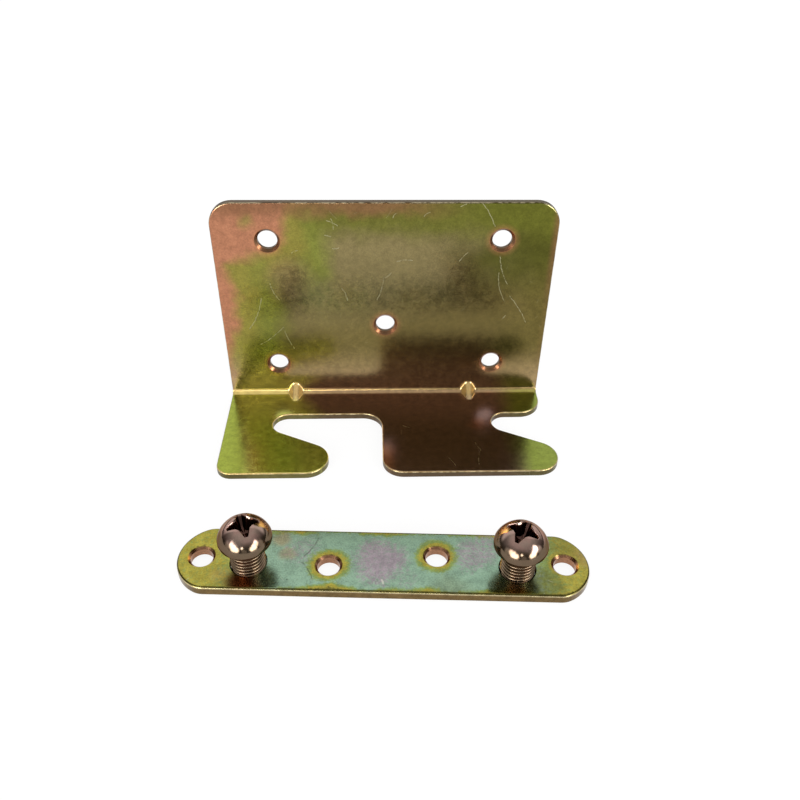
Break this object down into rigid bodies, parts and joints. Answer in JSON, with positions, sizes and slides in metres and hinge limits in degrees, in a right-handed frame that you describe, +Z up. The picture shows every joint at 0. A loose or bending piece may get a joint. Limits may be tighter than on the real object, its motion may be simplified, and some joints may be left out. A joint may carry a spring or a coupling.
{
  "type": "bed rail fastener",
  "caption": "Bed rail fastener set: a folded plated-steel hook bracket for the rail, and a flat post plate with domed cross-recess screws that the hooks drop over.",
  "frame": {"origin": "middle of the post plate's mounting face, on the surface that the set lies on", "axes": "+Z up, along the screws; +X along the bracket's fold, the way the hooks open; +Y from the plate towards the bracket and square to its rail face"},
  "size_m": [0.0951, 0.0784, 0.0611],
  "materials": {
    "bracket_plating": "yellow passivated zinc plating, semi-gloss, olive to salmon sheen",
    "plate_plating": "yellow passivated zinc plating, satin, green to lilac sheen",
    "screw_plating": "bright bronze-tinted plating"
  },
  "bodies": {
    "post_plate": {"post_plate": "plate_plating"},
    "left_screw": {"left_screw": "screw_plating"},
    "right_screw": {"right_screw": "screw_plating"},
    "hook_bracket": {"hook_bracket": "bracket_plating"}
  },
  "joints": [
    {"name": "left_screw_turn", "type": "hinge", "parent": "post_plate", "child": "left_screw", "pos_m": [-0.03088, 0.00024, 0], "axis": [0, 0, 1], "continuous": true},
    {"name": "right_screw_turn", "type": "hinge", "parent": "post_plate", "child": "right_screw", "pos_m": [0.03075, -0.00283, 0], "axis": [0, 0, 1], "continuous": true},
    {"name": "bracket_lift", "type": "slide", "parent": "post_plate", "child": "hook_bracket", "axis": [0, 0, 1], "range_m": [0, 0.018]}
  ]
}
